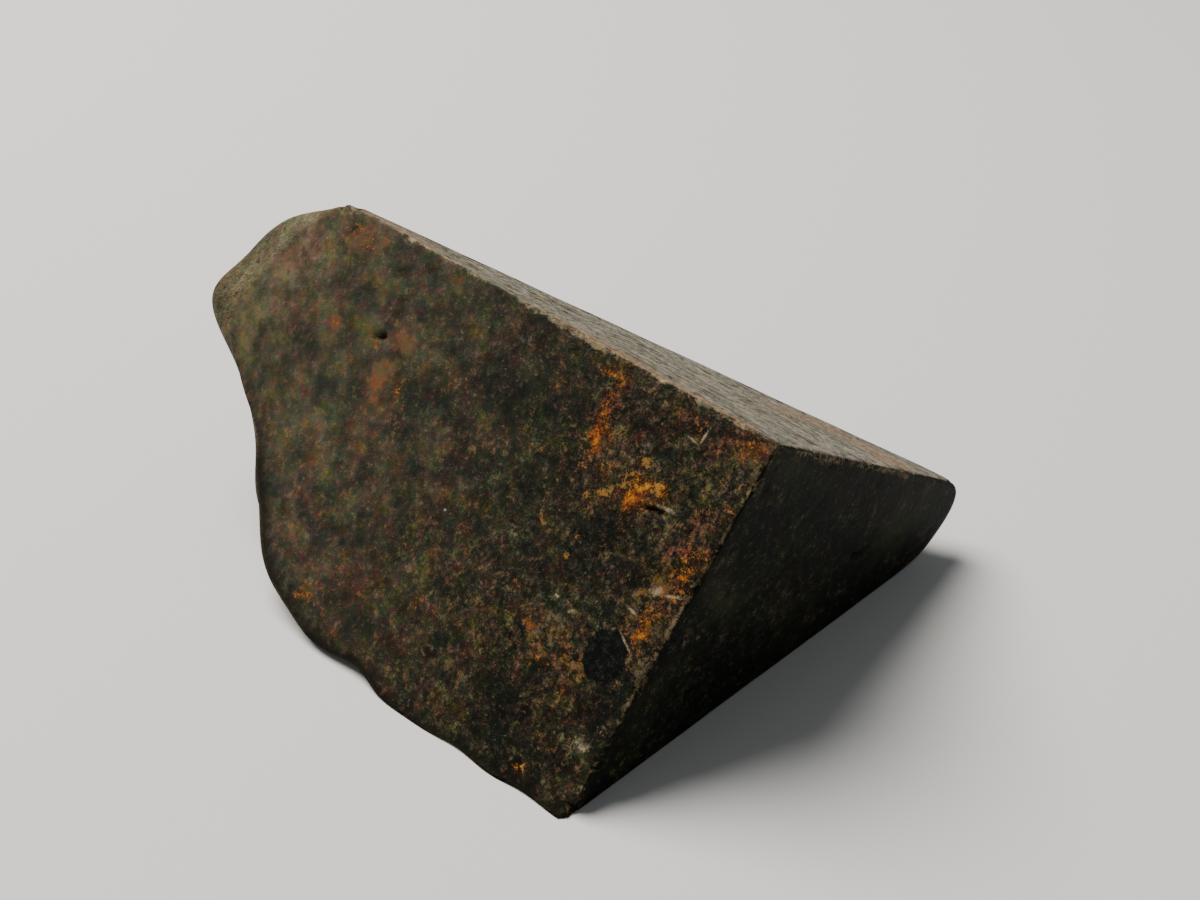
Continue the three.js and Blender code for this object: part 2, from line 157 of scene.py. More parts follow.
# Stains: the cut they lie on, and spots by distances, half-widths and turn as for the pits, strength.
stains = {
    "rust": ("main", [
        (8.55, 3.7, 0.8, 0.5, 110, 1.0), (8.4, 4.6, 0.4, 0.35, 0, 0.7), (8.9, 2.3, 1.3, 0.55, 95, 0.5),
        (9.6, 1.0, 0.7, 0.35, 60, 0.35), (7.8, 3.6, 0.5, 0.3, 0, 0.4), (8.6, 5.6, 0.6, 0.4, 60, 0.55),
        (5.2, 5.7, 0.55, 0.45, 40, 1.3), (5.2, 4.7, 0.8, 0.35, 20, 0.6), (4.0, 4.6, 0.4, 0.3, 10, 0.8),
        (4.7, 5.1, 1.4, 1.1, 20, 0.45), (7.5, 6.4, 0.5, 0.35, 20, 0.6), (6.5, 6.2, 0.5, 0.3, 30, 0.5),
        (4.9, 7.0, 0.8, 0.4, 80, 0.4), (26.4, 5.9, 0.4, 0.3, 0, 0.9), (23.2, 5.75, 0.4, 0.2, 0, 0.9),
        (0.9, 6.6, 1.3, 0.7, 95, 0.42), (1.2, 8.0, 1.3, 0.9, 90, 0.42), (1.35, 10.6, 1.1, 0.7, 85, 0.7),
        (0.5, 3.6, 1.2, 0.4, 92, 0.3), (4.1, 0.8, 0.6, 0.5, 0, 0.3), (3.5, 19.7, 0.9, 0.4, 20, 0.5),
        (20.1, 19.4, 0.6, 0.6, 30, 0.6), (19.0, 18.7, 1.7, 1.0, 0, 0.3), (25.4, 5.3, 0.5, 0.3, 0, 0.35),
        (28.2, 1.3, 1.0, 0.7, 20, 0.5), (26.8, 1.6, 0.8, 0.5, 80, 0.55), (6.8, 13.4, 0.8, 0.5, 30, 0.45),
        (8.6, 12.1, 0.5, 0.4, 0, 0.45),
        (5.3, 14.6, 0.9, 0.6, 10, 0.4), (11.8, 2.6, 0.4, 0.4, 0, 0.4), (15.4, 13.8, 0.5, 0.4, 0, 0.4),
        (13.0, 15.9, 0.6, 0.5, 0, 0.4), (9.0, 8.8, 0.4, 0.35, 0, 0.4), (17.6, 5.6, 0.4, 0.3, 0, 0.4),
        (20.6, 7.2, 0.8, 0.6, 60, 0.4), (0.8, 0.7, 0.8, 0.55, 30, 0.5), (3.0, 1.3, 2.4, 0.5, 0, 0.3),
        (9.0, 0.9, 2.2, 0.5, 0, 0.28), (14.0, 6.8, 0.5, 0.4, 0, 0.35), (22.5, 7.4, 0.8, 0.5, 70, 0.35),
    ]),
    "warm": ("main", [
        (22.0, 6.8, 2.0, 1.4, 70, 0.7), (20.4, 9.8, 3.0, 1.4, 80, 0.6), (24.8, 13.0, 3.2, 2.6, 0, 0.35),
        (11.2, 13.6, 4.5, 2.6, 20, 0.45), (6.5, 13.8, 3.2, 1.5, 15, 0.9), (3.4, 16.2, 2.2, 2.2, 0, 0.6),
        (28.4, 2.4, 3.0, 2.0, 0, 0.8), (1.6, 5.5, 3.4, 1.3, 90, 0.8), (1.4, 9.5, 3.4, 1.4, 90, 1.1),
        (17.0, 10.8, 2.6, 2.0, 0, 0.3), (5.6, 4.6, 2.2, 1.8, 0, 0.9), (19.6, 17.6, 2.4, 1.6, 0, 0.5),
        (8.6, 3.8, 2.8, 1.4, 95, 0.8), (9.9, 18.4, 4.0, 1.4, 10, 0.25), (3.2, 13.8, 1.4, 0.7, 20, 0.9),
        (1.8, 1.6, 2.0, 1.4, 0, 0.6),
    ]),
    "dark": ("main", [
        (14.2, 4.2, 3.4, 2.4, 70, 0.9), (18.2, 2.2, 2.4, 1.4, 0, 0.6), (10.6, 7.0, 2.2, 1.6, 50, 0.6),
        (7.6, 10.2, 3.0, 1.6, 30, 0.75), (3.6, 2.6, 1.8, 1.4, 0, 0.5), (16.0, 18.8, 3.4, 1.2, 10, 0.6),
        (11.8, 10.2, 1.8, 2.6, 0, 0.5), (2.6, 7.4, 1.3, 1.3, 70, 0.6), (6.4, 8.0, 1.2, 1.0, 0, 0.5),
        (8.0, 16.8, 1.6, 1.2, 0, 0.35), (24.4, 9.0, 1.2, 1.8, 0, 0.35), (6.3, 1.6, 1.2, 1.0, 0, 0.4),
        # the spot at 4.0 along the ridge and 18.2 along the front edge is painted shade at the lower tip; the
        # others are the stone's own dark patches
        (4.0, 18.2, 4.0, 2.4, 0, 0.5), (2.3, 3.6, 1.5, 1.2, 90, 0.6), (4.6, 2.9, 1.4, 0.9, 0, 0.4),
        (5.8, 7.4, 1.6, 1.0, 20, 0.5),
    ]),
    # pale crumbs, most of them along the sawn edges
    "pale": ("main", [
        (4.4, 0.1, 0.35, 0.18, 0, 1.2), (11.1, 0.1, 0.3, 0.18, 0, 1.4), (2.2, 0.1, 0.5, 0.14, 0, 1.0),
        (12.8, 0.12, 1.8, 0.2, 0, 0.9), (15.4, 0.12, 1.2, 0.16, 0, 0.6), (19.6, 0.1, 2.4, 0.14, 0, 0.5),
        (24.0, 0.1, 2.4, 0.14, 0, 0.4), (5.0, 0.1, 4.0, 0.13, 0, 0.5), (10.4, 0.14, 0.8, 0.22, 0, 0.8),
        (0.12, 2.6, 0.9, 0.2, 90, 0.8), (0.12, 9.6, 1.8, 0.16, 90, 0.7),
        (0.15, 14.2, 0.9, 0.14, 90, 0.6), (0.1, 17.6, 2.4, 0.12, 90, 0.45),
        (6.2, 4.0, 0.4, 0.25, 0, 0.5), (0.6, 15.5, 0.5, 0.3, 90, 0.5),
    ]),
    # iron stains from pinkish to yellow
    "peach": ("main", [
        (27.6, 1.4, 1.6, 0.9, 60, 1.1), (26.4, 5.9, 0.6, 0.5, 0, 1.3), (21.4, 4.9, 1.0, 0.8, 0, 0.9),
        (22.0, 7.1, 1.4, 0.8, 70, 1.0), (26.6, 7.6, 1.2, 0.6, 60, 0.6), (31.4, 4.6, 2.4, 1.6, 60, 0.8),
        (29.2, 7.4, 1.2, 0.9, 0, 0.5), (20.4, 9.8, 1.8, 0.9, 80, 0.5), (24.8, 13.0, 1.6, 1.2, 0, 0.5),
        (17.6, 12.4, 1.4, 0.9, 20, 0.5), (21.2, 15.4, 1.6, 1.0, 20, 0.45), (24.4, 2.6, 0.9, 0.5, 80, 0.6),
        (16.6, 8.0, 1.2, 0.6, 80, 0.4), (13.4, 13.4, 1.4, 0.9, 0, 0.4),
    ]),
    "tan": ("main", [
        (0.16, 9.6, 2.1, 0.16, 92, 1), (0.25, 1.8, 0.7, 0.22, 90, 1), (0.12, 13.9, 0.7, 0.12, 90, 1),
        (3.1, 11.22, 0.6, 0.12, 173, 1), (2.35, 11.27, 0.4, 0.12, 180, 1), (4.9, 8.4, 0.3, 0.2, 70, 1),
        (8.9, 12.6, 0.35, 0.2, 0, 1), (12.6, 8.3, 0.3, 0.2, 0, 1), (0.12, 4.7, 0.9, 0.14, 90, 1),
        (1.5, 12.3, 0.3, 0.15, 70, 1), (0.5, 12.0, 0.95, 0.4, 96, 1), (6.2, 1.9, 0.4, 0.15, 40, 1),
        (5.9, 12.4, 0.3, 0.17, 20, 1), (0.3, 2.0, 0.22, 0.14, 80, 1), (0.1, 12.5, 0.2, 0.15, 0, 1),
    ]),
    "brick": ("main", [
        (0.75, 0.6, 0.8, 0.5, 0, 1), (2.1, 0.8, 0.8, 0.35, 0, 1), (8.7, 1.8, 1.1, 0.5, 85, 1),
        (5.4, 2.0, 0.9, 0.5, 20, 1), (6.3, 2.9, 0.6, 0.4, 60, 1), (26.2, 5.8, 0.35, 0.25, 0, 1),
        (3.4, 15.1, 0.4, 0.3, 0, 1), (5.9, 5.6, 0.4, 0.3, 0, 1), (16.5, 16.5, 1.6, 0.8, 20, 1),
        (13.2, 18.2, 1.4, 0.6, 10, 1), (2.6, 1.6, 0.8, 0.4, 60, 1), (5.4, 6.7, 0.2, 0.15, 0, 1),
        (2.9, 7.8, 0.22, 0.16, 60, 1), (7.7, 13.1, 0.35, 0.25, 0, 1), (9.6, 14.2, 0.3, 0.22, 30, 1),
    ]),
    "gold": ("main", [
        (7.5, 6.6, 0.26, 0.2, 0, 1), (7.4, 4.8, 0.22, 0.18, 0, 1), (6.0, 4.75, 0.35, 0.22, 20, 1),
        (5.5, 3.8, 0.4, 0.28, 0, 1), (6.8, 9.6, 0.22, 0.18, 0, 1), (6.9, 8.5, 0.22, 0.17, 0, 1),
        (5.95, 5.3, 0.3, 0.2, 0, 1), (11.0, 5.9, 0.2, 0.17, 0, 1), (6.7, 6.0, 0.5, 0.25, 30, 1),
        (4.2, 4.7, 0.35, 0.25, 0, 1),
    ]),
    # a bloom on the side cut, and crumbs along its upper edge
    "olive": ("side", [
        (2.9, 8.0, 2.6, 0.9, 20, 0.9), (4.4, 6.8, 1.4, 0.8, 0, 0.5), (17.6, 3.0, 2.6, 1.8, 0, 0.8),
        (10.5, 9.0, 3.0, 2.0, 0, 0.3), (1.6, 14.0, 1.4, 2.4, 0, 0.3), (2.3, 1.1, 1.2, 0.6, 0, 0.6),
    ]),
    "chalk": ("side", [
        (2.6, 0.15, 1.2, 0.2, 0, 0.9), (5.4, 0.2, 1.5, 0.25, 0, 1.1), (9.6, 0.15, 1.4, 0.2, 0, 0.9),
        (14.6, 0.2, 0.6, 0.24, 0, 1.5), (12.4, 0.15, 1.3, 0.2, 0, 1.0),
    ]),
    # a reddish tinge on the top cut
    "blush": ("top", [
        (5.3, 14.6, 2.4, 1.5, 130, 1.3), (2.9, 15.7, 2.2, 1.1, 165, 1.4), (1.0, 14.4, 0.9, 1.3, 0, 1.4),
        (6.4, 11.8, 0.9, 2.0, 0, 0.9), (13.0, 0.5, 3.6, 0.5, 0, 0.8), (26.5, 0.8, 4.5, 1.4, 0, 0.8),
        (4.5, 0.4, 4.0, 0.7, 0, 1.1), (10.0, 0.7, 1.8, 0.8, 0, 1.5),
    ]),
}

# Marks on the main face that are finer than the mesh: distances along the ridge and the front edge,
# half-widths and turn as for the pits.
creamMarks = [
    (3.42, 5.17, 0.5, 0.11, 6), (1.7, 8.65, 0.34, 0.2, 40), (0.85, 8.46, 0.5, 0.08, 23),
    (2.4, 10.05, 0.36, 0.07, 170), (1.83, 11.5, 0.5, 0.06, 148), (3.85, 1.78, 0.34, 0.07, 170),
    (3.42, 1.35, 0.4, 0.07, 85), (1.2, 16.7, 0.4, 0.34, 20), (6.2, 11.5, 0.14, 0.1, 0),
    (5.1, 11.7, 0.2, 0.1, 30),
]
# the slit is painted nearly black, as painted shade in a crack finer than the mesh
slitMarks = [(3.85, 5.5, 0.85, 0.1, 13), (4.8, 6.05, 0.4, 0.14, 60)]

# Tints of the weathered outside: spots by ridge, side and front distances, radius, strength.
tints = {
    "bleached": [(32, 2, 2.5, 3.9, 1.0), (32, 1, 7.5, 3.6, 0.9), (12, 17, 2, 7, 0.3)],
    "ochre": [(31.5, 0.8, 8.2, 3.2, 1.0), (20, 14, 6, 5, 0.6), (4, 18, 12, 4, 0.5)],
    "orange": [(30.2, 1.4, 0.6, 1.8, 1.0), (33, 1.5, 5.2, 1.2, 0.7), (24, 8, 12, 4, 0.5), (9, 19, 7, 3, 0.6)],
}


def pick(table, cell):
    # the same entry of the table each time for the same cell of a cubic lattice
    a, b, c = (cell % len(table)).T
    return table[(table[(table[a] + b) % len(table)] + c) % len(table)]


def noise(points, size, seed):
    # gradient noise: a random slope at every corner of a cubic lattice, each faded in by a smooth step
    # across its cell, and all added up
    rng = np.random.default_rng(seed)
    table = rng.permutation(tableSize)
    slopes = unit(rng.normal(size=(tableSize, 3)))
    cells = points / size
    low = np.floor(cells).astype(int)
    part = cells - low
    fade = part ** 3 * (part * (part * 6 - 15) + 10)
    total = np.zeros(len(points))
    for offset in np.ndindex(2, 2, 2):
        weight = np.prod(np.where(offset, fade, 1 - fade), axis=1)
        total += weight * np.sum(slopes[pick(table, low + offset)] * (part - offset), axis=1)
    return total * noiseGain


def hollows(points, size, kept, seed):
    # round hollows at random spots of a cubic lattice, of which a share is kept: each is one less the square
    # of the distance over its radius, 1 in the middle and 0 outside, and the deepest one counts
    rng = np.random.default_rng(seed)
    table = rng.permutation(tableSize)
    draws = rng.random((tableSize, 5))
    least, more = hollowRadius
    low = np.floor(points / size).astype(int)
    deepest = np.zeros(len(points))
    for offset in np.ndindex(3, 3, 3):
        cell = low + offset - 1
        draw = draws[pick(table, cell)]
        spot = (cell + draw[:, :3]) * size
        radius = size * (least + more * draw[:, 3])
        bowl = 1 - np.sum((points - spot) ** 2, axis=1) / radius ** 2
        deepest = np.maximum(deepest, np.where(draw[:, 4] < kept, bowl, 0))
    return deepest


def layeredNoise(points, layers, seed):
    # noises of several sizes, each times its height, added up
    return sum(height * noise(points, size, seed + i) for i, (size, height) in enumerate(layers))


def smooth(low, high, value):
    # a smooth step: 0 at low, 1 at high, also where low is above high
    share = np.clip((value - low) / (high - low), 0, 1)
    return share * share * (3 - 2 * share)


def polyhedron(aim):
    # how far the rounded polyhedron reaches from the corner along unit vectors, and which way it faces there:
    # the soft minimum of the distances to its facets, and the slope of that
    share = np.maximum(aim @ facetFacing.T, 0) / facets[:, 2]
    reach = np.sum(share ** stone["crispness"], axis=1) ** (-1 / stone["crispness"])
    facing = unit((share ** (stone["crispness"] - 1) / facets[:, 2]) @ facetFacing)
    return reach, facing


def bigRise(places):
    # crossed sine waves in directions spread evenly over a sphere, plus a bell curve for each swell
    waves = stone["waves"]
    number = np.arange(waves["count"])
    climb = np.degrees(np.arcsin(1 - (2 * number + 1) / waves["count"]))
    length = waves["longest"] * (waves["shortest"] / waves["longest"]) ** (number * np.sqrt(2) % 1)
    along = direction(number * goldenAngle, climb) * (2 * np.pi / length)[:, None]
    total = waves["height"] * np.sin(places @ along.T + number).sum(axis=1)
    for *aim, width, rise in stone["swells"]:
        toward = unit(np.array(aim) @ edgeRuns)
        centre = toward * polyhedron(toward[None])[0]
        total += rise * np.exp(-np.sum((places - centre) ** 2, axis=1) / width ** 2)
    return total


def skinRise(places):
    # noise of three sizes, less the small hollows
    dents = stone["dents"]
    rough = layeredNoise(places, stone["skin"], seeds["skin"])
    return rough - dents["depth"] * hollows(places, dents["size"], dents["kept"], seeds["dents"])


def outsidePoints(aim):
    # the polyhedron's surface in each direction, as distances along the edges, pushed in or out from the
    # heart by the big rise and straight out by the skin; neither push takes a point across a saw cut
    start = aim @ edgeRuns
    length = np.linalg.norm(start, axis=1)
    reach, facing = polyhedron(start / length[:, None])
    scale = (reach / length)[:, None]
    places, points = start * scale, aim * scale
    push = unit(points - np.array(stone["heart"])) * bigRise(places)[:, None]
    points = points + push * np.clip(points / stone["rimDepth"], 0, 1)
    fine = (facing * skinRise(places)[:, None]) @ toEdges
    return points + fine * np.clip(points / stone["skinRim"], 0, 1)


def boxLattice(steps):
    # whole-number places on the six sides of a box, without doubles, and the quads between them
    rings = []
    for axis in range(3):
        first, second = (axis + 1) % 3, (axis + 2) % 3
        for far in (False, True):
            grid = np.zeros((steps[first] + 1, steps[second] + 1, 3), int)
            grid[..., first] = np.arange(steps[first] + 1)[:, None]
            grid[..., second] = np.arange(steps[second] + 1)
            grid[..., axis] = steps[axis] if far else 0
            ring = [grid[:-1, :-1], grid[1:, :-1], grid[1:, 1:], grid[:-1, 1:]]
            rings.append(np.stack(ring if far else ring[::-1], 2).reshape(-1, 3))
    lattice, quads = np.unique(np.concatenate(rings), axis=0, return_inverse=True)
    return lattice, quads.reshape(-1, 4)


def spotDistance(places, cut, atFirst, atSecond, long, wide, turn):
    # distance from the middle of a turned ellipse on a saw cut: 1 on its outline
    onEdges = [i for i, edge in enumerate(edgeNames) if cut in edgeCuts[edge]]
    first, second = places.T[onEdges]
    c, s = np.cos(np.radians(turn)), np.sin(np.radians(turn))
    x, y = first - atFirst, second - atSecond
    return np.hypot((x * c + y * s) / long, (y * c - x * s) / wide)


def sawnRelief(points, onCut):
    # how far the saw cuts rise: noise less the torn-out grains, the pits' bowls and a groove that is a bell
    # curve of the distance from the inclusion's outline; then the depth in a pit and the inclusion's distance
    plucked = stone["plucked"]
    rise = layeredNoise(points, stone["grain"], seeds["grain"])
    rise -= plucked["depth"] * hollows(points, plucked["size"], plucked["kept"], seeds["plucked"])
    places = points @ toEdges
    pitted = np.zeros(len(points))
    wander = 1 + pitShape["wander"] * noise(points, pitShape["wanderSize"], seeds["pits"])
    for cut, *spot, deep in pits:
        bowl = smooth(*pitShape["wall"], spotDistance(places, cut, *spot) * wander)
        bowl = bowl * onCut[:, cutNames.index(cut)]
        rise -= deep * bowl
        pitted = np.maximum(pitted, bowl)
    squash = np.array([1, 1, 1 / inclusion["tall"]])
    fromMiddle = np.linalg.norm((places - inclusion["at"]) * squash, axis=1)
    wander = 1 + inclusion["wander"] * noise(points, inclusion["wanderSize"], seeds["inclusion"])
    fromMiddle = fromMiddle * wander
    groove = np.exp(-((fromMiddle - inclusion["radius"]) / inclusion["grooveWidth"]) ** 2) * onCut[:, 0]
    rise = rise * (1 - inclusion["smoothness"] * (fromMiddle < inclusion["radius"]))
    return rise - inclusion["groove"] * groove, pitted, np.where(onCut[:, 0], fromMiddle, farOff)


def breakEdges(points):
    # every sawn edge is planed off to a depth that crumbles along it, with deeper notches where it is chipped
    broken = np.zeros(len(points))
    crumbs = chipping["blunt"] + sum(
        size * np.maximum(noise(points, length, seeds["crumbs"] + i), chipping["hardest"])
        for i, (length, size) in enumerate(chipping["crumbs"])
    )
    for edge, run in zip(edgeNames, edgeRuns):
        across = unit(sum(cutOut[cutNames.index(cut)] for cut in edgeCuts[edge]))
        below, place = -points @ across, points @ run
        target = np.maximum(crumbs, chipping["least"])
        wander = 1 + chipping["wander"] * noise(points, chipping["wanderSize"], seeds["chips"])
        for chipEdge, at, length, bite in chipping["chips"]:
            if chipEdge == edge:
                notch = smooth(*chipping["notch"], np.abs(place - at) / (length / 2))
                target = np.maximum(target, bite * wander * notch)
        planed = np.maximum(target - below, 0)
        points = points - across * planed[:, None]
        broken = np.maximum(broken, smooth(0, chipping["shows"], planed))
    cornerOut = unit(-edgeRuns.sum(axis=0))
    knocked = np.maximum(chipping["cornerKnock"] + points @ cornerOut, 0)
    return points - cornerOut * knocked[:, None], broken


def makeStone():
    # A box is squeezed into the stone: shares of its three sides are directions from the corner, and the
    # largest share says how far out along the direction a point lies.
    steps = np.array(stone["steps"])
    lattice, quads = boxLattice(stone["steps"])
    share = lattice / steps
    share = share * (1 - stone["crowding"] * (1 - share))
    aim = share * stone["lengths"]
    aim[np.all(lattice == 0, axis=1)] = 1  # the corner itself, where any direction will do
    rim = outsidePoints(aim)
    outward = share.max(axis=1)
    points = (rim * outward[:, None]) @ edgeRuns
    isOutside = np.any(lattice == steps, axis=1)

    # which saw cuts a point lies on, and how far it is from their rim, below 0 on the outside
    depth = np.maximum(-points @ cutOut.T, 0)
    onCut = (depth < planeSlack) & ~isOutside[:, None]
    reach = np.linalg.norm(rim @ edgeRuns, axis=1)
    rimDistance = np.where(isOutside, -depth.min(axis=1), (1 - outward) * reach)

    rise, pitted, diskDistance = sawnRelief(points, onCut)
    facing = unit(onCut @ cutOut + tiny)
    points = points + facing * (rise * smooth(0, stone["reliefRim"], rimDistance))[:, None]
    points, broken = breakEdges(points)

    # what would hang below the table is squeezed into a thin layer just above it
    layer = stone["restLayer"]
    points[:, 2] = layer * np.logaddexp(0, (points[:, 2] + corner[2]) / layer) - corner[2]

    # stains are bell curves of the distance from their spots on a saw cut, and tints of that in space
    values = {"rim": rimDistance, "broken": broken, "pit": pitted, "disk": diskDistance}
    places = points @ toEdges
    for name, (cut, spots) in stains.items():
        bells = sum(strength * np.exp(-spotDistance(places, cut, *spot) ** 2) for *spot, strength in spots)
        values[name] = bells * onCut[:, cutNames.index(cut)]
    for name, spots in tints.items():
        values[name] = sum(
            strength * np.exp(-np.sum((points - np.array(at) @ edgeRuns) ** 2, axis=1) / radius ** 2)
            for *at, radius, strength in spots
        )
    return points + corner, quads, values


def addMesh(name, points, quads, values):
    mesh = bpy.data.meshes.new(name)
    mesh.from_pydata((points * mm).tolist(), [], quads.tolist())
    for key, value in values.items():
        mesh.attributes.new(key, "FLOAT", "POINT").data.foreach_set("value", np.asarray(value, np.float32))
    mesh.shade_smooth()
    piece = bpy.data.objects.new(name, mesh)
    bpy.context.scene.collection.objects.link(piece)
    return piece


points, quads, values = makeStone()
stonePiece = addMesh("meteorite_stone", points, quads, values)
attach(stonePiece, "root")
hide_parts("meteorite")
print("stone made:", len(points), "points,", 2 * len(quads), "triangles")


class Wire:
    # a shader socket that can be added, multiplied and so on; each sign adds its Math node
    def __init__(self, shader, socket):
        self.shader, self.socket = shader, socket

    def __add__(self, other):
        return self.shader.math("ADD", self, other)

    def __sub__(self, other):
        return self.shader.math("SUBTRACT", self, other)

    def __rsub__(self, other):
        return self.shader.math("SUBTRACT", other, self)

    def __mul__(self, other):
        return self.shader.math("MULTIPLY", self, other)

    __radd__, __rmul__ = __add__, __mul__


class Shader:
    def __init__(self, name):
        self.material = bpy.data.materials.new(name)
        self.material.use_nodes = True
        self.tree = self.material.node_tree
        self.tree.nodes.clear()

    def node(self, kind, settings, sockets, output=0):
        made = self.tree.nodes.new("ShaderNode" + kind)
        for key, value in settings.items():
            if key == "stops":
                self.setStops(made.color_ramp, value)
            else:
                setattr(made, key, value)
        for key, value in sockets.items():
            if isinstance(value, Wire):
                self.tree.links.new(value.socket, made.inputs[key])
            else:
                made.inputs[key].default_value = value
        return Wire(self, made.outputs[output]) if made.outputs else None

    def setStops(self, ramp, stops):
        for place, colour in stops[2:]:
            ramp.elements.new(place)
        for element, (place, colour) in zip(sorted(ramp.elements, key=lambda e: e.position), stops):
            element.position, element.color = place, (*colour, 1)

    def math(self, operation, *numbers):
        return self.node("Math", {"operation": operation}, dict(enumerate(numbers)))

    def vector(self, operation, *vectors, output=0):
        return self.node("VectorMath", {"operation": operation}, dict(enumerate(vectors)), output)

    def step(self, low, high, value):
        # 0 below low, 1 above high, smooth between; it falls where low is above high
        down = low > high
        sockets = {"Value": value, "From Min": min(low, high), "From Max": max(low, high)}
        sockets.update({"To Min": int(down), "To Max": int(not down)})
        return self.node("MapRange", {"interpolation_type": "SMOOTHSTEP"}, sockets)

    def mix(self, share, first, second, blend="MIX"):
        settings = {"data_type": "RGBA", "blend_type": blend}
        first, second = (c if isinstance(c, Wire) else (*c, 1) for c in (first, second))
        return self.node("Mix", settings, {0: share, 6: first, 7: second}, 2)

    def ramp(self, value, stops):
        return self.node("ValToRGB", {"stops": stops}, {"Fac": value})

    def attribute(self, name):
        return self.node("Attribute", {"attribute_name": name}, {}, "Fac")

    def noise(self, place, size, detail=2, roughness=0.5):
        # about -0.5 to 0.5
        sockets = {"Vector": place, "Scale": 1 / size, "Detail": detail, "Roughness": roughness}
        return self.node("TexNoise", {}, sockets) - 0.5

    def spot(self, face, first, second, long, wide, turn):
        # distance from the middle of a turned ellipse: 1 on its outline
        sockets = {"Vector": face, "Location": (first, second, 0), "Scale": (long, wide, 1)}
        sockets["Rotation"] = (0, 0, np.radians(turn))
        moved = self.node("Mapping", {"vector_type": "TEXTURE"}, sockets)
        return self.vector("LENGTH", moved, output="Value")

    def grains(self, place, size):
        # three random numbers for every grain of a crystal mosaic, -0.5 to 0.5
        picked = self.node("TexVoronoi", {}, {"Vector": place, "Scale": 1 / size}, "Color")
        return [self.node("SeparateColor", {}, {0: picked}, i) - 0.5 for i in range(3)]

    def finish(self, sockets):
        surface = self.node("BsdfPrincipled", {}, sockets)
        self.node("OutputMaterial", {}, {"Surface": surface})


